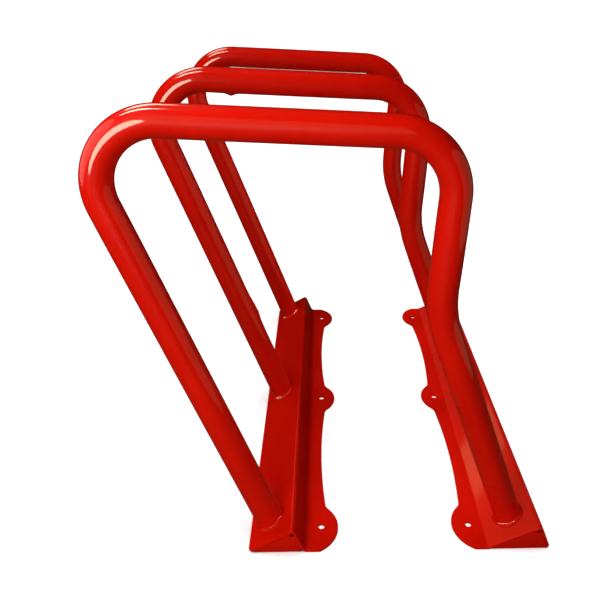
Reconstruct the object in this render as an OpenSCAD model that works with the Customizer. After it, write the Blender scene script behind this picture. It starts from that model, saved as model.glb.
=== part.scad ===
// Floor-mounted stand: bent tube hoops welded across two folded plate rails.
// X runs across the stand, Y along the rails, Z up. The origin is on the floor,
// at the centre of the rectangle of anchor holes.

/* [Tube hoops] */
// Outside diameter of the hoop tube
tube_od = 48.3; // [42.4:0.1:51]
// Wall thickness of the hoop tube
tube_wall = 3; // [2:0.1:4]
// Distance between neighbouring hoops
hoop_pitch = 394; // [350:1:450]
// Lean of both lower legs from vertical
leg_lean = 19.8; // [17:0.1:22]
// Where the high leg's axis would reach the floor
high_leg_x = -214.3; // [-220:0.1:-210]
// Height at which the axes of the high leg and the top bar cross
high_corner_height = 736; // [700:1:760]
// Length of the top bar between its two axis corners
top_length = 550; // [530:1:570]
// Fall of the top bar from the high corner to the low one
top_fall = 2.8; // [0:0.1:5]
// Lean of the upper part of the low leg from vertical
upper_lean = 3.4; // [1:0.1:6]
// Height of the kink in the low leg
kink_height = 434; // [400:1:460]
// Centre line radius of the two top bends
corner_bend_r = 91; // [80:1:100]
// Centre line radius of the kink
kink_bend_r = 210; // [150:1:250]

/* [Base rails] */
// Thickness of the folded plate
plate_t = 4; // [3:0.5:5]
// Inside radius of the fold along a ridge
ridge_fold_r = 3; // [2:0.5:4]
// Inside radius of the fold between a flange on the floor and the face that rises from it
foot_fold_r = 9; // [3:0.5:11]
// Height of the ridge, where the mid surfaces of its two faces cross
ridge_height = 46; // [42:1:50]
// Angle of the steep face from the floor
steep_angle = 68.5; // [65:0.5:72]
// Position of the high side's ridge
high_ridge_x = -179.5; // [-182:0.5:-176]
// Width of the high side's sloping face, measured along the floor
high_slope_run = 77.5; // [74:0.5:82]
// Position of the low side's ridge
low_ridge_x = 244.5; // [242:0.5:248]
// Width of the low side's sloping face, measured along the floor
low_slope_run = 88; // [84:0.5:92]
// Length of rail beyond the outer hoops
rail_overhang = 54; // [50:1:58]
// Radius of the rounded corners at the ends of the free edges
edge_corner_r = 9; // [4:0.5:12]

/* [Floor lugs] */
// Distance between the two rows of anchor holes
anchor_spacing = 264.6; // [262:0.1:268]
// Diameter of an anchor hole
anchor_hole_d = 11; // [9:0.5:13]
// Radius of a lug's round edge
lug_r = 61; // [58:1:64]
// Plate between an anchor hole's centre and the tip of its lug
lug_reach = 30; // [26:1:32]
// Radius of the shallow waist between two lugs
waist_r = 1400; // [1200:10:1600]
// Radius that blends a lug into the waist
neck_r = 20; // [15:1:25]

/* [End caps] */
// Thickness of an end cap
cap_t = 4; // [3:0.5:5]
// Distance of a cap's face behind the end of its rail
cap_inset = 1; // [0.5:0.5:4]
// Blunt tip of a cap, measured from the thin end of the hollow it closes
cap_tip_gap = 9; // [7:0.5:12]
// Diameter of the round vent in a cap's corner under the ridge
vent_d = 10; // [7:0.5:12]
// Depth of the vent's centre below the corner
vent_drop = 3.5; // [2:0.5:5]

/* [Welds] */
// Leg length of the weld round each foot of a hoop
foot_weld = 5; // [4:0.5:6]
// Leg length of the weld behind each end cap
cap_weld = 4; // [3:0.5:5]

/* [Hidden] */

paint = [0.75, 0.05, 0.03];
weld_paint = [0.68, 0.05, 0.03];
smooth = 96;
fold_steps = 6;
beyond = 1;
tube_r = tube_od / 2;
bore_r = tube_r - tube_wall;
hair = 0.05;
joint_half = 2;
half_t = plate_t / 2;
ridge_mid_r = ridge_fold_r + half_t;
foot_mid_r = foot_fold_r + half_t;
rail_length = 2 * (hoop_pitch + rail_overhang);
hoop_ys = [-hoop_pitch, 0, hoop_pitch];
anchor_x = anchor_spacing / 2;
lug_tip_x = anchor_x - lug_reach;
lug_x = lug_tip_x + lug_r;

// Plane geometry. A point is [across, along] in whichever plane is being drawn.
function unit(v) = v / norm(v);
function left_of(v) = [-v.y, v.x];
function heading(angle) = [cos(angle), sin(angle)];
function run(p, i) = unit(p[i + 1] - p[i]);
// Signed angle through which path p turns at its point i
function turn(p, i) =
    let (u = run(p, i - 1), v = run(p, i)) atan2(u.x * v.y - u.y * v.x, u * v);
// A bend of radius r at point i: where it starts and ends, its centre, its first angle
function set_back(p, i, r) = r * tan(abs(turn(p, i)) / 2);
function bend_start(p, i, r) = p[i] - set_back(p, i, r) * run(p, i - 1);
function bend_end(p, i, r) = p[i] + set_back(p, i, r) * run(p, i);
function bend_centre(p, i, r) =
    bend_start(p, i, r) + sign(turn(p, i)) * r * left_of(run(p, i - 1));
function bend_angle(p, i, r) =
    let (v = bend_start(p, i, r) - bend_centre(p, i, r)) atan2(v.y, v.x);
// Corner i of path p, moved sideways by off with both of its straights
function offset_corner(p, i, off) =
    let (n = left_of(run(p, i - 1)), m = left_of(run(p, i)))
    p[i] + off * (n + m) / (1 + n * m);
// Path p with a bend of radius radii[i] drawn at each point i, moved sideways by off
function offset_path(p, radii, off) = let (last = len(p) - 1) concat(
    [p[0] + off * left_of(run(p, 0))],
    [for (i = [1:last - 1], k = [0:fold_steps])
        bend_centre(p, i, radii[i]) + (radii[i] - sign(turn(p, i)) * off)
            * heading(bend_angle(p, i, radii[i]) + turn(p, i) * k / fold_steps)],
    [p[last] + off * left_of(run(p, last - 1))]
);
function reversed(list) = [for (i = [len(list) - 1:-1:0]) list[i]];
// Where two circles cross, on the left of the way from the first to the second
function circles_cross(c1, r1, c2, r2) =
    let (d = norm(c2 - c1), a = (r1 * r1 - r2 * r2 + d * d) / (2 * d))
    c1 + a * unit(c2 - c1) + sqrt(r1 * r1 - a * a) * left_of(unit(c2 - c1));

// Hoop centre line, from the high leg's foot over the top to the low leg's foot.
// Both ends are buried below the sloping faces and trimmed there.
buried = 20;
high_corner = [high_leg_x - high_corner_height * tan(leg_lean), high_corner_height];
low_corner = high_corner + top_length * heading(-top_fall);
kink = [low_corner.x - (low_corner.y - kink_height) * tan(upper_lean), kink_height];
low_leg_x = kink.x + kink_height * tan(leg_lean);
leg_heading = heading(90 + leg_lean);
hoop_path = [
    [high_leg_x, 0] - buried * leg_heading,
    high_corner, low_corner, kink,
    [low_leg_x, 0] - buried * leg_heading
];
hoop_radii = [0, corner_bend_r, corner_bend_r, kink_bend_r];

// Rail sections on the plate's mid surface, from left to right. A free edge stands on
// its lower corner.
high_free_x = high_ridge_x - high_slope_run;
high_slope = atan((ridge_height - half_t) / high_slope_run);
high_section = [
    [high_free_x, half_t * cos(high_slope)],
    [high_ridge_x, ridge_height],
    [high_ridge_x + (ridge_height - half_t) / tan(steep_angle), half_t],
    [beyond - lug_tip_x, half_t]
];
low_section = [
    [lug_tip_x - beyond, half_t],
    [low_ridge_x - low_slope_run, half_t],
    [low_ridge_x, ridge_height],
    [low_ridge_x + (ridge_height - half_t * cos(steep_angle)) / tan(steep_angle),
        half_t * cos(steep_angle)]
];
high_outer_x = -high_free_x + plate_t;
low_outer_x = low_section[3].x + plate_t;

// Sloping faces: a point on the top surface, and the way up the slope
high_face = [high_section[0] + half_t * left_of(run(high_section, 0)),
    run(high_section, 0)];
low_face = [low_section[1] + half_t * left_of(run(low_section, 1)),
    run(low_section, 1)];
// Where a leg's axis meets a sloping face
function foot(leg_x, face) = let (n = left_of(face[1]), start = [leg_x, 0])
    start + leg_heading * ((face[0] - start) * n) / (leg_heading * n);
high_foot = foot(high_leg_x, high_face);
low_foot = foot(low_leg_x, low_face);

// Stands a drawing made in X and Z upright, from depth from_y over a length
module upright(from_y, length) {
    translate([0, from_y + length, 0]) rotate([90, 0, 0]) linear_extrude(length)
        children();
}

// Turns a cylinder's axis from Z to the way between two points of the hoop plane
module along(from, to) {
    way = to - from;
    translate([from.x, 0, from.y]) rotate([0, atan2(way.x, way.y), 0]) children();
}

module tube_section() {
    difference() {
        circle(r = tube_r, $fn = smooth);
        circle(r = bore_r, $fn = smooth);
    }
}

// Ring that fuses a straight to a bend. It stands a hair proud of the tube, inside
// and out, where the two meet.
module joint() {
    rotate_extrude($fn = smooth) polygon([
        [tube_r + hair, 0], [tube_r - hair, joint_half],
        [bore_r + hair, joint_half], [bore_r - hair, 0],
        [bore_r + hair, -joint_half], [tube_r - hair, -joint_half]
    ]);
}

// The tube of one hoop, from its straight number i to its low end. Z runs along the
// tube, and the next bend's centre lies at centre_x.
module tube_from(i) {
    p = hoop_path;
    last = len(p) - 2;
    from = i == 0 ? p[0] : bend_end(p, i, hoop_radii[i]);
    to = i == last ? p[last + 1] : bend_start(p, i + 1, hoop_radii[i + 1]);
    length = norm(to - from);
    linear_extrude(length) tube_section();
    if (i > 0) joint();
    if (i < last) {
        angle = -turn(p, i + 1);
        centre_x = sign(angle) * hoop_radii[i + 1];
        translate([0, 0, length]) {
            joint();
            translate([centre_x, 0, 0]) {
                rotate([90, 0, 90 + sign(angle) * 90])
                    rotate_extrude(angle = abs(angle), $fn = smooth)
                    translate([abs(centre_x), 0]) tube_section();
                rotate([0, angle, 0]) translate([-centre_x, 0, 0]) tube_from(i + 1);
            }
        }
    }
}

// Everything below a sloping face, around one foot
module below_face(at, face) {
    size = 4 * tube_od;
    translate([at.x, 0, at.y]) rotate([0, -atan2(face[1].y, face[1].x), 0])
        translate([-size / 2, -size / 2, -size]) cube(size);
}

module hoop(y) {
    color(paint) translate([0, y, 0]) difference() {
        along(hoop_path[0], hoop_path[1]) tube_from(0);
        below_face(high_foot, high_face);
        below_face(low_foot, low_face);
    }
}

// Bead round the foot of a leg: a ring lying on the face, outside the tube
module foot_weld_ring(y, at, face) {
    color(weld_paint) translate([0, y, 0]) difference() {
        translate([at.x, 0, at.y]) rotate([0, -atan2(face[1].y, face[1].x), 0])
            rotate_extrude($fn = smooth) translate([tube_r, 0])
            circle(r = foot_weld, $fn = smooth / 2);
        along(at - tube_od * leg_heading, at)
            cylinder(r = tube_r, h = 2 * tube_od, $fn = smooth);
        below_face(at, face);
    }
}

// A square corner with its inside rounded away, for cutting a round corner
module corner_cutter(r) {
    difference() {
        translate([-beyond, -beyond]) square(r + beyond);
        translate([r, r]) circle(r = r, $fn = smooth);
    }
}

// Plan of the low side's rail: straight outer edge, and lugs towards the middle
module rail_plan(outer_x) {
    waist_x = anchor_x - waist_r;
    waist = [waist_x, hoop_pitch / 2];
    blend = circles_cross([lug_x, hoop_pitch], lug_r + neck_r, waist, waist_r - neck_r);
    neck = waist + waist_r * unit(blend - waist);
    waist_half = neck.y - waist.y;
    web = [blend, neck, [lug_x, neck.y], [lug_x, hoop_pitch]];
    difference() {
        union() {
            intersection() {
                translate([0, -rail_length / 2]) square([outer_x, rail_length]);
                for (y = hoop_ys) translate([lug_x, y]) circle(r = lug_r, $fn = smooth);
            }
            translate([lug_x, -rail_length / 2]) square([outer_x - lug_x, rail_length]);
            translate([neck.x, -hoop_pitch])
                square([lug_x - neck.x + beyond, 2 * hoop_pitch]);
            for (side = [-1, 1], flip = [-1, 1])
                polygon([for (q = flip > 0 ? web : reversed(web))
                    [q.x, flip * (q.y - waist.y) + side * waist.y]]);
        }
        for (side = [-1, 1]) translate([0, side * waist.y]) {
            intersection() {
                translate([waist_x, 0]) circle(r = waist_r, $fn = 12 * smooth);
                translate([0, -waist_half]) square([anchor_spacing, 2 * waist_half]);
            }
            for (flip = [-1, 1]) translate([blend.x, flip * (blend.y - waist.y)])
                circle(r = neck_r, $fn = smooth);
        }
    }
}

module anchor_holes(side) {
    for (y = hoop_ys) translate([side * anchor_x, y, -beyond])
        cylinder(d = anchor_hole_d, h = plate_t + 2 * beyond, $fn = smooth / 2);
}

module folded_plate(section, radii) {
    upright(-rail_length / 2, rail_length)
        polygon(concat(offset_path(section, radii, half_t),
            reversed(offset_path(section, radii, -half_t))));
}

module rail_high_side() {
    color(paint) difference() {
        intersection() {
            folded_plate(high_section, [0, ridge_mid_r, foot_mid_r]);
            linear_extrude(2 * ridge_height) mirror([1, 0]) rail_plan(high_outer_x);
        }
        anchor_holes(-1);
        for (end = [0, 1]) mirror([0, end, 0])
            translate([high_free_x - half_t, -rail_length / 2, -beyond])
            linear_extrude(ridge_height) corner_cutter(edge_corner_r);
    }
}

module rail_low_side() {
    color(paint) difference() {
        intersection() {
            folded_plate(low_section, [0, foot_mid_r, ridge_mid_r]);
            linear_extrude(2 * ridge_height) rail_plan(low_outer_x);
        }
        anchor_holes(1);
        for (end = [0, 1]) mirror([0, end, 0])
            translate([low_ridge_x, -rail_length / 2, 0]) rotate([90, 0, 90])
            linear_extrude(ridge_height) corner_cutter(edge_corner_r);
    }
}

// Outline of the hollow under a ridge, which a cap closes: the two undersides, with
// the thin tips cut off square
function high_hollow() =
    let (top = offset_corner(high_section, 1, -half_t),
        slope = run(high_section, 0),
        tip_x = high_free_x + cap_tip_gap,
        tip_z = top.y - (top.x - tip_x) * slope.y / slope.x,
        low_end = bend_start(high_section, 2, foot_mid_r)
            - half_t * left_of(run(high_section, 1)))
    [[tip_x, 0], [tip_x, tip_z], top, low_end, [low_end.x, 0]];
function low_hollow() =
    let (top = offset_corner(low_section, 2, -half_t),
        slope = run(low_section, 1),
        tip_x = low_section[1].x + cap_tip_gap,
        tip_z = top.y - (top.x - tip_x) * slope.y / slope.x,
        low_end = low_section[3] - half_t * left_of(run(low_section, 2)))
    [[tip_x, 0], [tip_x, tip_z], top, low_end];

// Open at the corner under the ridge, where the vent breaks out into the fold
module hollow_face(outline) {
    corner = outline[2];
    inwards = unit(unit(outline[1] - corner) + unit(outline[3] - corner));
    difference() {
        polygon(outline);
        translate(corner + vent_drop * inwards) circle(d = vent_d, $fn = smooth / 2);
    }
}

module end_cap(end, outline) {
    color(paint) mirror([0, end, 0])
        upright(cap_inset - rail_length / 2, cap_t) hollow_face(outline);
}

// Fillet in the hidden corner between a cap's back and the sloping plate
module cap_weld_bead(end, outline) {
    up = unit(outline[2] - outline[1]);
    slack = vent_d;
    from = outline[1] + slack * up;
    length = norm(outline[2] - outline[1]) - 2 * slack;
    back_y = cap_inset + cap_t - rail_length / 2;
    color(weld_paint) mirror([0, end, 0])
        translate([from.x, back_y, from.y]) rotate([0, -atan2(up.y, up.x), 0])
        rotate([90, 0, 90]) linear_extrude(length)
        polygon([[0, 0], [cap_weld, 0], [0, -cap_weld]]);
}

module hoop_front() { hoop(-hoop_pitch); }
module hoop_middle() { hoop(0); }
module hoop_rear() { hoop(hoop_pitch); }
module end_cap_high_front() { end_cap(0, high_hollow()); }
module end_cap_high_rear() { end_cap(1, high_hollow()); }
module end_cap_low_front() { end_cap(0, low_hollow()); }
module end_cap_low_rear() { end_cap(1, low_hollow()); }
module foot_weld_high_front() { foot_weld_ring(-hoop_pitch, high_foot, high_face); }
module foot_weld_high_middle() { foot_weld_ring(0, high_foot, high_face); }
module foot_weld_high_rear() { foot_weld_ring(hoop_pitch, high_foot, high_face); }
module foot_weld_low_front() { foot_weld_ring(-hoop_pitch, low_foot, low_face); }
module foot_weld_low_middle() { foot_weld_ring(0, low_foot, low_face); }
module foot_weld_low_rear() { foot_weld_ring(hoop_pitch, low_foot, low_face); }
module cap_weld_high_front() { cap_weld_bead(0, high_hollow()); }
module cap_weld_high_rear() { cap_weld_bead(1, high_hollow()); }
module cap_weld_low_front() { cap_weld_bead(0, low_hollow()); }
module cap_weld_low_rear() { cap_weld_bead(1, low_hollow()); }

rail_high_side();
rail_low_side();
hoop_front();
hoop_middle();
hoop_rear();
end_cap_high_front();
end_cap_high_rear();
end_cap_low_front();
end_cap_low_rear();
foot_weld_high_front();
foot_weld_high_middle();
foot_weld_high_rear();
foot_weld_low_front();
foot_weld_low_middle();
foot_weld_low_rear();
cap_weld_high_front();
cap_weld_high_rear();
cap_weld_low_front();
cap_weld_low_rear();
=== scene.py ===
import math
import random
from collections import namedtuple

import bmesh
import bpy
from mathutils import Matrix, Vector, noise


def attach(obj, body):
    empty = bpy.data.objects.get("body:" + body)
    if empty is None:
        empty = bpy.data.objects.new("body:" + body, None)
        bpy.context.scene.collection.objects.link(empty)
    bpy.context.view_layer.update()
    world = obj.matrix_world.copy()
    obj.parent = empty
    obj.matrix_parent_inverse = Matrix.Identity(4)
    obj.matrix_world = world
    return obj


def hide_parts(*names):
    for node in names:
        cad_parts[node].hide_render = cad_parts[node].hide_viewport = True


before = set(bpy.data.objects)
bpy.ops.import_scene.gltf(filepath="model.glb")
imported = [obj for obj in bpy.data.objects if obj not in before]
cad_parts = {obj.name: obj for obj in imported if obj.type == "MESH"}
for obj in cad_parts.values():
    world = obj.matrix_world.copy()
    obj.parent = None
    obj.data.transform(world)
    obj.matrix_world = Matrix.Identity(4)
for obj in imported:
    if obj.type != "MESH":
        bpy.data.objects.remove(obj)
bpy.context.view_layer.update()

MM = 0.001
TINY = 1e-7

# Driving dimensions, as in the design.
TUBE_R = 24.15 * MM
TUBE_WALL = 3 * MM
HOOP_PITCH = 394 * MM
LEG_LEAN = math.radians(19.8)
HIGH_LEG_X = -214.3 * MM
HIGH_CORNER_Z = 736 * MM
TOP_LENGTH = 550 * MM
TOP_FALL = math.radians(2.8)
UPPER_LEAN = math.radians(3.4)
KINK_Z = 434 * MM
CORNER_BEND_R = 91 * MM
KINK_BEND_R = 210 * MM
PLATE_T = 4 * MM
RIDGE_FOLD_R = 3 * MM
FOOT_FOLD_R = 9 * MM
RIDGE_Z = 46 * MM
STEEP_ANGLE = math.radians(68.5)
HIGH_RIDGE_X = -179.5 * MM
HIGH_SLOPE_RUN = 77.5 * MM
LOW_RIDGE_X = 244.5 * MM
LOW_SLOPE_RUN = 88 * MM
RAIL_OVERHANG = 54 * MM
EDGE_CORNER_R = 9 * MM
ANCHOR_X = 132.3 * MM
ANCHOR_HOLE_R = 5.5 * MM
LUG_R = 61 * MM
LUG_REACH = 30 * MM
WAIST_R = 1400 * MM
NECK_R = 20 * MM
CAP_T = 4 * MM
CAP_INSET = 1 * MM
CAP_TIP_GAP = 9 * MM
VENT_R = 5 * MM
VENT_DROP = 3.5 * MM
FOOT_WELD = 5 * MM

# Worked out from them.
HALF_T = PLATE_T / 2
RIDGE_MID_R = RIDGE_FOLD_R + HALF_T
FOOT_MID_R = FOOT_FOLD_R + HALF_T
RAIL_END = HOOP_PITCH + RAIL_OVERHANG
HOOP_Y = {"front": -HOOP_PITCH, "middle": 0.0, "rear": HOOP_PITCH}
LUG_TIP_X = ANCHOR_X - LUG_REACH
LUG_X = LUG_TIP_X + LUG_R


# ---------------------------------------------------------------- plane geometry

def vec(x, y):
    return Vector((x, y))


def heading(angle):
    return vec(math.cos(angle), math.sin(angle))


def left_of(v):
    return vec(-v.y, v.x)


def turn(path, i):
    """Signed angle through which a path turns at its point i."""
    u = path[i] - path[i - 1]
    v = path[i + 1] - path[i]
    return math.atan2(u.x * v.y - u.y * v.x, u.dot(v))


# A straight or an arc: how far along the path it starts, its length, its first point and
# direction, and its curvature, which is 0 on a straight.
Stretch = namedtuple("Stretch", "start size point way bend")


class Route:
    """A path of straights joined by arcs, by the distance along it."""

    def __init__(self, path, radii):
        self.parts = []
        at = path[0]
        length = 0.0
        for i in range(1, len(path)):
            way = (path[i] - path[i - 1]).normalized()
            angle = turn(path, i) if i < len(path) - 1 else 0.0
            back = radii[i] * math.tan(abs(angle) / 2)
            end = path[i] - way * back
            self.parts.append(Stretch(length, (end - at).length, at, way, 0.0))
            length += (end - at).length
            if angle:
                arc_length = radii[i] * abs(angle)
                bend = math.copysign(1 / radii[i], angle)
                self.parts.append(Stretch(length, arc_length, end, way, bend))
                length += arc_length
                at = path[i] + (path[i + 1] - path[i]).normalized() * back
        self.length = length

    def at(self, s):
        """Point and direction at distance s."""
        part = [p for p in self.parts if p.start <= s + TINY][-1]
        d = s - part.start
        if not part.bend:
            return part.point + part.way * d, part.way
        centre = part.point + left_of(part.way) / part.bend
        turned = Matrix.Rotation(d * part.bend, 2)
        return centre + turned @ (part.point - centre), turned @ part.way

    def stations(self, straight_step, bend_step):
        """Distances at which to put rings: even steps along every straight and arc."""
        found = [0.0]
        for part in self.parts:
            step = bend_step / abs(part.bend) if part.bend else straight_step
            n = max(1, round(part.size / step))
            found += [part.start + part.size * k / n for k in range(1, n + 1)]
        return found


def circles_cross(c1, r1, c2, r2):
    """Where two circles cross, on the left of the way from the first to the second."""
    d = (c2 - c1).length
    a = (r1 * r1 - r2 * r2 + d * d) / (2 * d)
    way = (c2 - c1).normalized()
    return c1 + way * a + left_of(way) * math.sqrt(r1 * r1 - a * a)


def arc(centre, start, end, steps, clockwise=False):
    """Points of an arc from start to end, both included."""
    a = math.atan2(start.y - centre.y, start.x - centre.x)
    b = math.atan2(end.y - centre.y, end.x - centre.x)
    sweep = (b - a) % math.tau - (math.tau if clockwise else 0.0)
    r = (start - centre).length
    return [centre + heading(a + sweep * k / steps) * r for k in range(steps + 1)]


def upright(p, y=0.0):
    """A point or a direction across the stand, stood up in space at a place along it."""
    return Vector((p.x, y, p.y))


def inset(loop, d):
    """A closed loop moved inwards, to its left, by d, with square corners kept."""
    moved = []
    for i, p in enumerate(loop):
        n = left_of((p - loop[i - 1]).normalized())
        m = left_of((loop[(i + 1) % len(loop)] - p).normalized())
        moved.append(p + (n + m) * (d / (1 + n.dot(m))))
    return moved


# ---------------------------------------------------------------- the design's lines

high_corner = vec(HIGH_LEG_X - HIGH_CORNER_Z * math.tan(LEG_LEAN), HIGH_CORNER_Z)
low_corner = high_corner + heading(-TOP_FALL) * TOP_LENGTH
kink = vec(low_corner.x - (low_corner.y - KINK_Z) * math.tan(UPPER_LEAN), KINK_Z)
low_leg_x = kink.x + KINK_Z * math.tan(LEG_LEAN)
leg_way = heading(math.pi / 2 + LEG_LEAN)

high_free_x = HIGH_RIDGE_X - HIGH_SLOPE_RUN
high_slope = math.atan((RIDGE_Z - HALF_T) / HIGH_SLOPE_RUN)
high_path = [
    vec(-LUG_TIP_X, HALF_T),
    vec(HIGH_RIDGE_X + (RIDGE_Z - HALF_T) / math.tan(STEEP_ANGLE), HALF_T),
    vec(HIGH_RIDGE_X, RIDGE_Z),
    vec(high_free_x, HALF_T * math.cos(high_slope)),
]
low_edge_z = HALF_T * math.cos(STEEP_ANGLE)
low_path = [
    vec(LUG_TIP_X, HALF_T),
    vec(LOW_RIDGE_X - LOW_SLOPE_RUN, HALF_T),
    vec(LOW_RIDGE_X, RIDGE_Z),
    vec(LOW_RIDGE_X + (RIDGE_Z - low_edge_z) / math.tan(STEEP_ANGLE), low_edge_z),
]
FOLD_RADII = [0, FOOT_MID_R, RIDGE_MID_R, 0]


# A sloping face's top surface: a point on it, the way up it, and its upward normal.
Face = namedtuple("Face", "point way up")


def slope_face(path, low, high):
    way = (path[high] - path[low]).normalized()
    up = left_of(way) if way.x > 0 else -left_of(way)
    return Face(path[low] + up * HALF_T, way, up)


def slide_to_face(p, face):
    """Moves a point along the leg until it lies on the sloping face."""
    return p + leg_way * ((face.point - p).dot(face.up) / leg_way.dot(face.up))


high_face = slope_face(high_path, 3, 2)
low_face = slope_face(low_path, 1, 2)
high_foot = slide_to_face(vec(HIGH_LEG_X, 0), high_face)
low_foot = slide_to_face(vec(low_leg_x, 0), low_face)
hoop_route = Route(
    [high_foot, high_corner, low_corner, kink, low_foot],
    [0, CORNER_BEND_R, CORNER_BEND_R, KINK_BEND_R, 0],
)


# ---------------------------------------------------------------- materials

class Nodes:
    """Short hands for building a material's nodes."""

    def __init__(self, name):
        self.material = bpy.data.materials.new(name)
        self.material.use_nodes = True
        self.tree = self.material.node_tree
        self.shader = self.tree.nodes["Principled BSDF"]
        self.place = self.add("ShaderNodeTexCoord").outputs["Object"]

    def add(self, kind, **values):
        made = self.tree.nodes.new(kind)
        for key, value in values.items():
            setattr(made, key, value)
        return made

    def link(self, a, b):
        self.tree.links.new(a, b)

    def noise(self, scale, detail=2.0, rough=0.5):
        made = self.add("ShaderNodeTexNoise")
        made.inputs["Scale"].default_value = scale
        made.inputs["Detail"].default_value = detail
        made.inputs["Roughness"].default_value = rough
        self.link(self.place, made.inputs["Vector"])
        return made.outputs["Fac"]

    def spread(self, source, low, high, out_low, out_high):
        made = self.add("ShaderNodeMapRange")
        made.inputs["From Min"].default_value = low
        made.inputs["From Max"].default_value = high
        made.inputs["To Min"].default_value = out_low
        made.inputs["To Max"].default_value = out_high
        self.link(source, made.inputs["Value"])
        return made.outputs["Result"]

    def mix(self, share, a, b):
        made = self.add("ShaderNodeMix", data_type="RGBA")
        self.link(share, made.inputs[0])
        made.inputs[6].default_value = (*a, 1.0)
        made.inputs[7].default_value = (*b, 1.0)
        return made.outputs[2]

    def bump(self, height, depth, strength, before=None):
        made = self.add("ShaderNodeBump")
        made.inputs["Strength"].default_value = strength
        made.inputs["Distance"].default_value = depth
        self.link(height, made.inputs["Height"])
        if before is not None:
            self.link(before, made.inputs["Normal"])
        return made.outputs["Normal"]


FULL_RED = (0.60, 0.0045, 0.0006)
THIN_RED = (0.66, 0.006, 0.001)
CLOUD_SCALE = 9
DULL_SCALE = 26
DULL_RANGE = (-0.05, 0.07)
WAVE_SCALE = 18
WAVE_DEPTH = 0.6 * MM
PEEL_SCALE = 200
PAINT_SPECULAR = 0.05
COAT_ROUGHNESS = 0.05


def paint(name, peel_depth, roughness, tone=1.0):
    """Glossy red coat: uneven film, orange peel and a little dulling in patches."""
    n = Nodes(name)
    full = tuple(part * tone for part in FULL_RED)
    thin = tuple(part * tone for part in THIN_RED)
    cloud = n.spread(n.noise(CLOUD_SCALE, 3), 0.35, 0.65, 0.0, 1.0)
    n.link(n.mix(cloud, full, thin), n.shader.inputs["Base Color"])
    least, most = (roughness + change for change in DULL_RANGE)
    dull = n.spread(n.noise(DULL_SCALE, 4, 0.6), 0.3, 0.7, least, most)
    n.link(dull, n.shader.inputs["Roughness"])
    waves = n.bump(n.noise(WAVE_SCALE, 0), WAVE_DEPTH, 0.2)
    peel = n.bump(n.noise(PEEL_SCALE, 0), peel_depth, 0.3, waves)
    n.link(peel, n.shader.inputs["Normal"])
    n.shader.inputs["Specular IOR Level"].default_value = PAINT_SPECULAR
    n.shader.inputs["Coat Weight"].default_value = 1.0
    n.shader.inputs["Coat Roughness"].default_value = COAT_ROUGHNESS
    return n.material


def floor_material(name, low, high):
    """A matt floor with faint cloudy variation between two tones."""
    n = Nodes(name)
    cloud = n.spread(n.noise(1.5, 3), 0.3, 0.7, 0.0, 1.0)
    n.link(n.mix(cloud, low, high), n.shader.inputs["Base Color"])
    n.link(n.bump(n.noise(60, 2), 0.2 * MM, 0.2), n.shader.inputs["Normal"])
    n.shader.inputs["Roughness"].default_value = 0.9
    n.shader.inputs["Specular IOR Level"].default_value = 0.1
    return n.material


tube_paint = paint("red_paint_tube", 0.03 * MM, 0.3)
plate_paint = paint("red_paint_plate", 0.04 * MM, 0.34)
bead_paint = paint("red_paint_weld", 0.6 * MM, 0.24, 0.95)


# ---------------------------------------------------------------- mesh helpers

SHARP = math.radians(50)


def piece(name, bm, material, slot, *nodes):
    """Finishes a mesh as a piece that rides on the stand and replaces CAD nodes."""
    bmesh.ops.recalc_face_normals(bm, faces=bm.faces)
    for face in bm.faces:
        face.smooth = True
    for edge in bm.edges:
        if len(edge.link_faces) == 2 and edge.calc_face_angle() > SHARP:
            edge.smooth = False
    mesh = bpy.data.meshes.new(name)
    bm.to_mesh(mesh)
    bm.free()
    mesh.materials.append(material)
    made = bpy.data.objects.new(name, mesh)
    bpy.context.scene.collection.objects.link(made)
    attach(made, "root")
    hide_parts(*nodes)
    return made


def bridge(bm, a, b):
    """Quads between two closed rings of vertices."""
    for i in range(len(a)):
        j = (i + 1) % len(a)
        bm.faces.new((a[i], a[j], b[j], b[i]))


# ---------------------------------------------------------------- hoops

TUBE_SIDES = 72
STRAIGHT_STEP = 24 * MM
BEND_STEP = math.radians(3)
BEND_FLATTEN = 0.012
FLATTEN_REACH = 40 * MM

# The paint run under the middle hoop's bar. It fades DRIP_ROUND times as fast round the
# tube as along it, and has DRIP_STEPS rings to each side of its middle.
DRIP_X = -297.5 * MM
DRIP_HALF = 12 * MM
DRIP_DEPTH = 4.5 * MM
DRIP_ROUND = 3.2
DRIP_STEPS = 24


def bend_share(s):
    """0 on the straights and 1 in the bends, with a soft change between."""
    share = 0.0
    for part in hoop_route.parts:
        if part.bend:
            gap = max(part.start - s, s - part.start - part.size, 0.0)
            share = max(share, 1 - min(gap / FLATTEN_REACH, 1))
    return share * share * (3 - 2 * share)


def drip_at(x, a):
    """How far the paint run hangs below the bar, at an angle round the tube."""
    if math.cos(a) >= 0:
        return 0.0
    off = ((x - DRIP_X) / DRIP_HALF) ** 2 + (math.sin(a) * DRIP_ROUND) ** 2
    return DRIP_DEPTH * math.exp(-2 * off)


def tube_ring(bm, s, y, r, drips):
    """One ring of the hoop's tube, at distance s along it."""
    centre, way = hoop_route.at(s)
    side = left_of(way)
    flat = BEND_FLATTEN * bend_share(s)
    ring = []
    for k in range(TUBE_SIDES):
        a = math.tau * k / TUBE_SIDES
        across = r * (1 - flat) * math.cos(a)
        if drips:
            across -= drip_at(centre.x, a)
        p = centre + side * across
        if s < TINY:
            p = slide_to_face(p, high_face)
        if s > hoop_route.length - TINY:
            p = slide_to_face(p, low_face)
        ring.append(bm.verts.new(upright(p, y + r * (1 + flat / 2) * math.sin(a))))
    return ring


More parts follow.
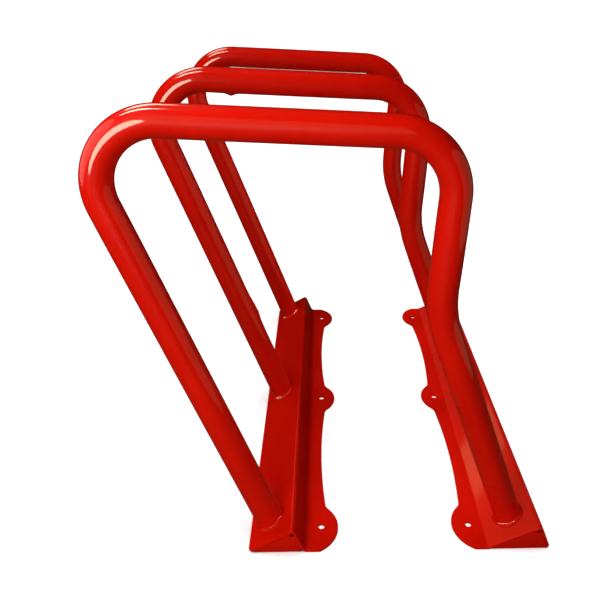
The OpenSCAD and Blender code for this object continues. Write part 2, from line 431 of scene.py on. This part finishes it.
def add_drip_stations(stations):
    """Puts close rings in along the drip, in place of those that were there."""
    top = [s for s in stations if hoop_route.at(s)[0].y > low_corner.y - TUBE_R]
    nearest = min(top, key=lambda s: abs(hoop_route.at(s)[0].x - DRIP_X))
    middle = nearest + DRIP_X - hoop_route.at(nearest)[0].x
    reach = 3 * DRIP_HALF
    close = [middle + reach * k / DRIP_STEPS for k in range(-DRIP_STEPS, DRIP_STEPS + 1)]
    return sorted([s for s in stations if abs(s - middle) > reach] + close)


def hoop(which):
    """Bent tube, open at both feet where it stands on the rails."""
    bm = bmesh.new()
    y = HOOP_Y[which]
    drips = which == "middle"
    stations = hoop_route.stations(STRAIGHT_STEP, BEND_STEP)
    if drips:
        stations = add_drip_stations(stations)
    outer = [tube_ring(bm, s, y, TUBE_R, drips) for s in stations]
    inner = [tube_ring(bm, s, y, TUBE_R - TUBE_WALL, False) for s in stations]
    for rings in (outer, inner):
        for a, b in zip(rings, rings[1:]):
            bridge(bm, a, b)
    bridge(bm, outer[0], inner[0])
    bridge(bm, outer[-1], inner[-1])
    return piece("hoop_" + which + "_tube", bm, tube_paint, "red_paint", "hoop_" + which)


# ---------------------------------------------------------------- folded plates

EDGE_R = 0.7 * MM
CAP_EDGE_R = 1.5 * MM
CAP_GAP = 1.2 * MM
EDGE_STEPS = 3
FOLD_STEPS = 10
CORNER_STEPS = 8
LUG_END_STEPS = 28
LUG_HALF_STEPS = 14
NECK_STEPS = 8
WAIST_STEPS = 16
HOLE_STEPS = 40
VENT_STEPS = 18


def slab(loop, holes, thickness, edge_r):
    """A flat plate of an outline, with rounded edges. Its middle lies at height 0."""
    bm = bmesh.new()
    rims = []
    for outline in [loop, *holes]:
        rings = []
        for k in range(EDGE_STEPS + 1):
            a = math.pi / 2 * k / EDGE_STEPS
            ring = inset(outline, edge_r * (1 - math.sin(a)))
            rings.append([(p, thickness / 2 - edge_r * (1 - math.cos(a))) for p in ring])
        rims.append(rings)
    caps = {1: [], -1: []}
    for rings in rims:
        made = []
        for ring in rings:
            made.append([bm.verts.new((p.x, p.y, h)) for p, h in ring])
        for ring in reversed(rings):
            made.append([bm.verts.new((p.x, p.y, -h)) for p, h in ring])
        for a, b in zip(made, made[1:]):
            bridge(bm, a, b)
        caps[1].append(made[0])
        caps[-1].append(made[-1])
    for rings in caps.values():
        edges = []
        for ring in rings:
            edges += [bm.edges.get((ring[i - 1], ring[i])) for i in range(len(ring))]
        bmesh.ops.triangle_fill(bm, use_beauty=True, use_dissolve=False, edges=edges)
    return bm


def hole(y):
    """An anchor hole's loop, clockwise, so that its left is the plate."""
    ways = [heading(-math.tau * k / HOLE_STEPS) for k in range(HOLE_STEPS)]
    return [vec(ANCHOR_X, y) + way * ANCHOR_HOLE_R for way in ways]


def rail_outline(free_s):
    """A rail's flat blank. Across is the distance from the stand's middle, measured
    along the folded plate, so the lugs are on the left and the free edge on the right."""

    def across_waist(p):
        return vec(p.x, HOOP_PITCH - p.y)

    r = EDGE_CORNER_R
    corner = vec(free_s - r, RAIL_END - r)
    half = arc(corner, corner + vec(r, 0), corner + vec(0, r), CORNER_STEPS)

    # The end lug, from the plate's end round to its neck.
    lug = vec(LUG_X, HOOP_PITCH)
    waist = vec(ANCHOR_X - WAIST_R, HOOP_PITCH / 2)
    neck = circles_cross(lug, LUG_R + NECK_R, waist, WAIST_R - NECK_R)
    on_lug = lug + (neck - lug).normalized() * LUG_R
    on_waist = waist + (neck - waist).normalized() * WAIST_R
    end_x = LUG_X - math.sqrt(LUG_R ** 2 - RAIL_OVERHANG ** 2)
    half += arc(lug, vec(end_x, RAIL_END), on_lug, LUG_END_STEPS)

    # Neck, waist and neck again, and the middle lug as far as its tip.
    far_neck, far_lug, far_waist = map(across_waist, (neck, on_lug, on_waist))
    half += arc(neck, on_lug, on_waist, NECK_STEPS, True)[1:]
    half += arc(waist, on_waist, far_waist, WAIST_STEPS, True)[1:]
    half += arc(far_neck, far_waist, far_lug, NECK_STEPS, True)[1:]
    half += arc(vec(LUG_X, 0), far_lug, vec(LUG_TIP_X, 0), LUG_HALF_STEPS)[1:]
    return half + [vec(p.x, -p.y) for p in reversed(half[:-1])]


def folded_rail(name, path, side, node):
    """Cuts the blank along its fold lines and bends it to the rail's section."""
    route = Route([vec(p.x * side, p.y) for p in path], FOLD_RADII)
    holes = [hole(y) for y in HOOP_Y.values()]
    bm = slab(rail_outline(LUG_TIP_X + route.length), holes, PLATE_T, EDGE_R)
    for part in route.parts:
        if part.bend:
            for k in range(FOLD_STEPS + 1):
                bmesh.ops.bisect_plane(
                    bm,
                    geom=bm.verts[:] + bm.edges[:] + bm.faces[:],
                    dist=TINY,
                    plane_co=(LUG_TIP_X + part.start + part.size * k / FOLD_STEPS, 0, 0),
                    plane_no=(1, 0, 0),
                )
    for v in bm.verts:
        s = v.co.x - LUG_TIP_X
        point, way = route.at(max(s, 0.0))
        point = point + left_of(way) * v.co.z
        v.co = ((point.x + min(s, 0.0)) * side, v.co.y, point.y)
    made = piece(name, bm, plate_paint, "red_paint", node)
    flats = made.modifiers.new("even_flats", "WEIGHTED_NORMAL")
    flats.mode = "FACE_AREA"
    flats.keep_sharp = True
    return made


def faces_meet(corner, normals, drops):
    """Where two faces that meet at a corner would meet, each moved in by its own drop."""
    n, m = normals
    a, b = drops
    c = n.dot(m)
    return corner - (n * (a - b * c) + m * (b - a * c)) / (1 - c * c)


def cut_vent(loop, corner):
    """Cuts the round vent into a cap's top corner."""
    i = loop.index(corner)
    before = (loop[i - 1] - corner).normalized()
    after = (loop[(i + 1) % len(loop)] - corner).normalized()
    inwards = (before + after).normalized()
    along = VENT_DROP * inwards.dot(before)
    away = VENT_DROP * math.sqrt(1 - inwards.dot(before) ** 2)
    reach = along + math.sqrt(VENT_R ** 2 - away ** 2)
    centre = corner + inwards * VENT_DROP
    cut = arc(centre, corner + before * reach, corner + after * reach, VENT_STEPS, True)
    return loop[:i] + cut + loop[i + 1:]


def end_cap(which, end):
    """Plate that closes a rail's end under the ridge, with its vent. It lies against the
    steep face and leaves a thin gap under the slope."""
    path = high_path if which == "high" else low_path
    side = -1 if which == "high" else 1
    flat = [vec(p.x * side, p.y) for p in path]
    up_way = (flat[2] - flat[1]).normalized()
    down_way = (flat[3] - flat[2]).normalized()
    normals = left_of(up_way), left_of(down_way)
    under = HALF_T + CAP_GAP
    if which == "high":
        top = faces_meet(flat[2], normals, (HALF_T, under))
        route = Route(flat, FOLD_RADII)
        fold_end = route.at(route.parts[2].start)[0] - normals[0] * HALF_T
        tip_x = flat[3].x - CAP_TIP_GAP
        tip_z = top.y + (tip_x - top.x) * down_way.y / down_way.x
        loop = [vec(fold_end.x, 0), vec(tip_x, 0), vec(tip_x, tip_z), top, fold_end]
    else:
        top = faces_meet(flat[2], normals, (under, HALF_T))
        tip_x = flat[1].x + CAP_TIP_GAP
        tip_z = top.y + (tip_x - top.x) * up_way.y / up_way.x
        loop = [vec(tip_x, 0), flat[3] - normals[1] * HALF_T, top, vec(tip_x, tip_z)]
    bm = slab(cut_vent(loop, top), [], CAP_T, CAP_EDGE_R)
    middle = RAIL_END - CAP_INSET - CAP_T / 2
    for v in bm.verts:
        v.co = (v.co.x * side, end * middle + v.co.z, v.co.y)
    place = "front" if end < 0 else "rear"
    node = f"end_cap_{which}_{place}"
    return piece(node + "_plate", bm, plate_paint, "red_paint", node)


# ---------------------------------------------------------------- weld beads

BEAD_STEPS = 288
BEAD_PROFILE = 8
BEAD_SINK = 0.4 * MM
BEAD_HOLLOW = 0.22

# A bead's height is a least share, overlapping scales whose spacing drifts, and a wander.
RIPPLE = 4.2 * MM
DRIFT_SCALE = 90
DRIFT_SHARE = 0.35
WANDER_SCALE = 70
LEAST_SHARE = 0.45
RIPPLE_SHARE = 0.5
WANDER_SHARE = 0.25

# Drops of spatter on each foot's near side: distance from the bead and radius, in mm.
SPATTER_COUNT = 7
SPATTER_REACH = (0.2, 4.5)
SPATTER_R = (0.5, 1.1)


def bead_height(along, offset):
    """Share of the bead's full size at a distance along it: overlapping scales."""
    drift = noise.noise(Vector((along * DRIFT_SCALE, offset, 0.7)))
    phase = (along / RIPPLE + DRIFT_SHARE * drift) % 1.0
    scale = math.sqrt(max(0.0, 1 - (2 * phase - 1) ** 2 * 0.9))
    wander = noise.noise(Vector((along * WANDER_SCALE, offset, 0.3)))
    return LEAST_SHARE + RIPPLE_SHARE * scale + WANDER_SHARE * wander


def foot_weld(which, place):
    """Rippled fillet round one foot, with a few drops of spatter beside it."""
    foot, face = (high_foot, high_face) if which == "high" else (low_foot, low_face)
    bm = bmesh.new()
    side = left_of(leg_way)
    normal = upright(face.up)
    up = upright(leg_way)
    offset = sum(map(ord, which + place)) * 0.37
    rings = []
    along = 0.0
    last = None
    for k in range(BEAD_STEPS):
        a = math.tau * k / BEAD_STEPS
        base = upright(
            slide_to_face(foot + side * (TUBE_R * math.cos(a)), face),
            HOOP_Y[place] + TUBE_R * math.sin(a),
        )
        along += (base - last).length if last else 0.0
        last = base
        radial = upright(side * math.cos(a), math.sin(a))
        out = (radial - normal * radial.dot(normal)).normalized()
        size = FOOT_WELD * bead_height(along, offset)
        ring = [bm.verts.new(base - out * BEAD_SINK - normal * BEAD_SINK * 0.1)]
        for j in range(BEAD_PROFILE + 1):
            b = math.pi / 2 * j / BEAD_PROFILE
            reach = size * (1 - BEAD_HOLLOW * math.sin(2 * b))
            ring.append(bm.verts.new(base + (out * math.cos(b) + up * math.sin(b)) * reach))
        rings.append(ring)
    for i in range(BEAD_STEPS):
        bridge(bm, rings[i - 1], rings[i])
    spatter(bm, random.Random(which + place), upright(foot, HOOP_Y[place]), face)
    node = f"foot_weld_{which}_{place}"
    return piece(node + "_bead", bm, bead_paint, "weld_paint", node)


def spatter(bm, rng, foot, face):
    """Small painted-over beads of metal on the plate, on the near side of a foot."""
    normal = upright(face.up)
    way = upright(face.way)
    turn_up = normal.to_track_quat("Z", "Y").to_matrix().to_4x4()
    squash = Matrix.Diagonal((1, 1, 0.8, 1))
    for _ in range(SPATTER_COUNT):
        a = rng.uniform(math.pi * 1.15, math.pi * 1.85)
        r = TUBE_R + FOOT_WELD + rng.uniform(*SPATTER_REACH) * MM
        centre = foot + way * (r * math.cos(a)) + Vector((0, r * math.sin(a), 0))
        size = rng.uniform(*SPATTER_R) * MM
        place_at = Matrix.Translation(centre - normal * size * 0.3)
        bmesh.ops.create_icosphere(
            bm, subdivisions=2, radius=size, matrix=place_at @ turn_up @ squash
        )


# ---------------------------------------------------------------- stage

# Each floor has two tones.
PALE_FLOOR = ((0.78, 0.78, 0.78), (0.82, 0.82, 0.82))
DULL_FLOOR = ((0.09, 0.025, 0.01), (0.12, 0.035, 0.014))
DULL_FLOOR_DROP = 0.5 * MM
FLOOR_HALF = 40
FLOOR_LIGHT = 5.4
BACKDROP = 1.05
AMBIENT = 0.1
AMBIENT_COLOUR = (1, 0.68, 0.45)

# Light colours, and the size of a fill.
WHITE = (1, 1, 1)
WARM = (1, 0.86, 0.66)
CREAM = (1, 0.93, 0.85)
SAND = (1, 0.72, 0.38)
AMBER = (1, 0.6, 0.3)
BROWN = (1, 0.55, 0.3)
SOFT = (0.8, 0.8)

# Places that the lights face.
STAND_MIDDLE = (-0.1, -0.25, 0.4)
NEAR_BEND = (-0.4, -0.42, 0.72)
NEAR_LOW_LEG = (0.08, -0.4, 0.6)
NEAR_LOW_RAIL = (0.165, -0.3, 0.01)
NEAR_WELDS = (-0.1, -0.4, 0)


def group(name, objects):
    """A set of objects that a light is kept to."""
    made = bpy.data.collections.new(name)
    for each in objects:
        made.objects.link(each)
    return made


def add_light(name, data, place, onto):
    """Hangs a light, kept to a set of objects. The camera doesn't see it."""
    made = bpy.data.objects.new(name, data)
    made.location = place
    made.visible_camera = False
    made.light_linking.receiver_collection = onto
    bpy.context.scene.collection.objects.link(made)
    return made


def area_light(name, onto, target, azimuth, elevation, distance, size, power, colour):
    """A flat light that faces a target, at an azimuth from -Y towards +X."""
    data = bpy.data.lights.new(name, "AREA")
    data.shape = "ELLIPSE"
    data.size, data.size_y = size
    data.energy = power
    data.color = colour
    a, e = math.radians(azimuth), math.radians(elevation)
    way = Vector((math.sin(a) * math.cos(e), -math.cos(a) * math.cos(e), math.sin(e)))
    made = add_light(name, data, Vector(target) + way * distance, onto)
    made.rotation_euler = way.to_track_quat("Z", "Y").to_euler()
    return made


def fill(name, onto, **aim):
    """A soft light that shapes the paint but isn't mirrored in it."""
    made = area_light(name, onto, STAND_MIDDLE, size=SOFT, colour=WHITE, **aim)
    made.visible_glossy = False


def card(name, onto, target, **aim):
    """A bright card that is only mirrored in the paint."""
    made = area_light(name, onto, target, **aim)
    made.visible_diffuse = False
    made.data.cycles.max_bounces = 0


def floor(name, height, tones):
    """A wide flat stage piece."""
    bm = bmesh.new()
    bmesh.ops.create_grid(bm, x_segments=24, y_segments=24, size=FLOOR_HALF)
    mesh = bpy.data.meshes.new(name)
    bm.to_mesh(mesh)
    bm.free()
    mesh.materials.append(floor_material(name, *tones))
    made = bpy.data.objects.new(name, mesh)
    made.location.z = height
    bpy.context.scene.collection.objects.link(made)
    return made


def floors():
    """A pale floor for the camera, and a dull warm one for the paint to mirror."""
    pale = floor("pale_floor", 0, PALE_FLOOR)
    pale.visible_glossy = False
    pale.visible_diffuse = False
    pale.visible_shadow = False
    dull = floor("dull_floor", -DULL_FLOOR_DROP, DULL_FLOOR)
    dull.visible_camera = False
    sun = bpy.data.lights.new("floor_light", "SUN")
    sun.energy = FLOOR_LIGHT
    sun.angle = math.radians(80)
    add_light("floor_light", sun, (0, 0, 3), group("pale", [pale]))
    return dull


def fills(stand, outside):
    """Soft light from all round. What comes from behind misses the rail on the high side,
    whose steep face is dark."""
    fill("key", stand, azimuth=-42, elevation=40, distance=1.4, power=11)
    fill("front", stand, azimuth=-10, elevation=5, distance=1.4, power=9)
    fill("left", stand, azimuth=-100, elevation=55, distance=2.0, power=13)
    fill("right", outside, azimuth=130, elevation=12, distance=2.1, power=9)
    fill("back", outside, azimuth=-170, elevation=16, distance=2.2, power=14)
    fill("top", stand, azimuth=-170, elevation=75, distance=2.0, power=5)


def hoop_cards(hoops, near_hoop):
    """What the tubes mirror: a window, light edges above it, and a room's warm walls."""
    card("window", hoops, NEAR_BEND, azimuth=-31.5, elevation=6, distance=2.0,
         size=(1.1, 1.4), power=56, colour=WARM)
    card("strip", hoops, NEAR_BEND, azimuth=-100, elevation=65, distance=2.0,
         size=(0.2, 1.2), power=26, colour=WARM)
    card("rim", hoops, NEAR_BEND, azimuth=-150, elevation=45, distance=2.5,
         size=(1.2, 0.8), power=20, colour=WARM)
    card("wall", near_hoop, NEAR_BEND, azimuth=-88, elevation=14, distance=2.0,
         size=(2.6, 2.2), power=15, colour=CREAM)
    card("room", near_hoop, NEAR_BEND, azimuth=-3, elevation=18, distance=2.0,
         size=(2.2, 2.0), power=5, colour=SAND)
    card("brown", hoops, NEAR_LOW_LEG, azimuth=80, elevation=-3, distance=1.2,
         size=(2.2, 1.4), power=3.4, colour=BROWN)


def rail_lights(rails, welds):
    """More light on the slopes, what they mirror, and a bright card for the weld beads."""
    fill("slopes", rails, azimuth=-100, elevation=50, distance=2.0, power=3)
    card("skylight", rails, NEAR_LOW_RAIL, azimuth=-150, elevation=45, distance=3.0,
         size=(1.1, 1.6), power=1.2, colour=AMBER)
    card("doorway", rails, NEAR_LOW_RAIL, azimuth=-152, elevation=33.4, distance=8.0,
         size=(4.0, 0.5), power=5.4, colour=AMBER)
    card("spark", welds, NEAR_WELDS, azimuth=-50, elevation=45, distance=2.0,
         size=(0.45, 0.45), power=70, colour=WARM)


def surroundings():
    """White for the camera, and a faint warm light for the paint, which doesn't mirror it."""
    world = bpy.data.worlds.new("studio")
    bpy.context.scene.world = world
    world.use_nodes = True
    world.cycles_visibility.glossy = False
    tree = world.node_tree
    backdrop = tree.nodes["Background"]
    backdrop.inputs["Color"].default_value = (*WHITE, 1)
    backdrop.inputs["Strength"].default_value = BACKDROP
    ambient = tree.nodes.new("ShaderNodeBackground")
    ambient.inputs["Color"].default_value = (*AMBIENT_COLOUR, 1)
    ambient.inputs["Strength"].default_value = AMBIENT
    rays = tree.nodes.new("ShaderNodeLightPath")
    pick = tree.nodes.new("ShaderNodeMixShader")
    tree.links.new(rays.outputs["Is Camera Ray"], pick.inputs["Fac"])
    tree.links.new(ambient.outputs["Background"], pick.inputs[1])
    tree.links.new(backdrop.outputs["Background"], pick.inputs[2])
    tree.links.new(pick.outputs["Shader"], tree.nodes["World Output"].inputs["Surface"])


def studio(hoops, plates, welds):
    """Floors, lights and surroundings. Each light is kept to the pieces it is for, and the
    hoops aren't mirrored in the rails."""
    dull = floors()
    for each in hoops:
        each.visible_glossy = False
    stand = group("stand", [*hoops, *plates, *welds, dull])
    outside = group("outside", [*hoops, *plates[1:], *welds, dull])
    fills(stand, outside)
    hoop_cards(group("hoops", hoops), group("near_hoop", hoops[:1]))
    rail_lights(group("rails", plates), group("welds", welds))
    surroundings()


CAMERA_PLACE = (-0.1222, -1.2760, 0.9016)
CAMERA_YAW = 0.0181
CAMERA_PITCH = 0.4176
CAMERA_ROLL = 0.0013
CAMERA_SENSOR = 36
CAMERA_LENS = 39.08
CAMERA_SHIFT = (-0.0593, -0.0524)


def camera():
    """The viewpoint: yaw from +Y towards +X, pitch downwards, and roll clockwise."""
    forward = Vector((
        math.sin(CAMERA_YAW) * math.cos(CAMERA_PITCH),
        math.cos(CAMERA_YAW) * math.cos(CAMERA_PITCH),
        -math.sin(CAMERA_PITCH),
    ))
    right = Vector((math.cos(CAMERA_YAW), -math.sin(CAMERA_YAW), 0))
    down = forward.cross(right)
    across = right * math.cos(CAMERA_ROLL) + down * math.sin(CAMERA_ROLL)
    up = right * math.sin(CAMERA_ROLL) - down * math.cos(CAMERA_ROLL)
    data = bpy.data.cameras.new("camera")
    data.sensor_width = CAMERA_SENSOR
    data.lens = CAMERA_LENS
    data.shift_x, data.shift_y = CAMERA_SHIFT
    made = bpy.data.objects.new("camera", data)
    turned = Matrix((across, up, -forward)).transposed()
    made.matrix_world = Matrix.Translation(CAMERA_PLACE) @ turned.to_4x4()
    bpy.context.scene.collection.objects.link(made)
    bpy.context.scene.camera = made


# ---------------------------------------------------------------- making

hoops = [hoop(place) for place in HOOP_Y]
plates = [
    folded_rail("rail_high_plate", high_path, -1, "rail_high_side"),
    folded_rail("rail_low_plate", low_path, 1, "rail_low_side"),
]
welds = [node for name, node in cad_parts.items() if name.startswith("cap_weld")]
for node in welds:
    node.data.materials.clear()
    node.data.materials.append(bead_paint)
for which in ("high", "low"):
    plates += [end_cap(which, end) for end in (-1, 1)]
    welds += [foot_weld(which, place) for place in HOOP_Y]
camera()
studio(hoops, plates, welds)

bpy.context.scene.view_settings.view_transform = "Standard"
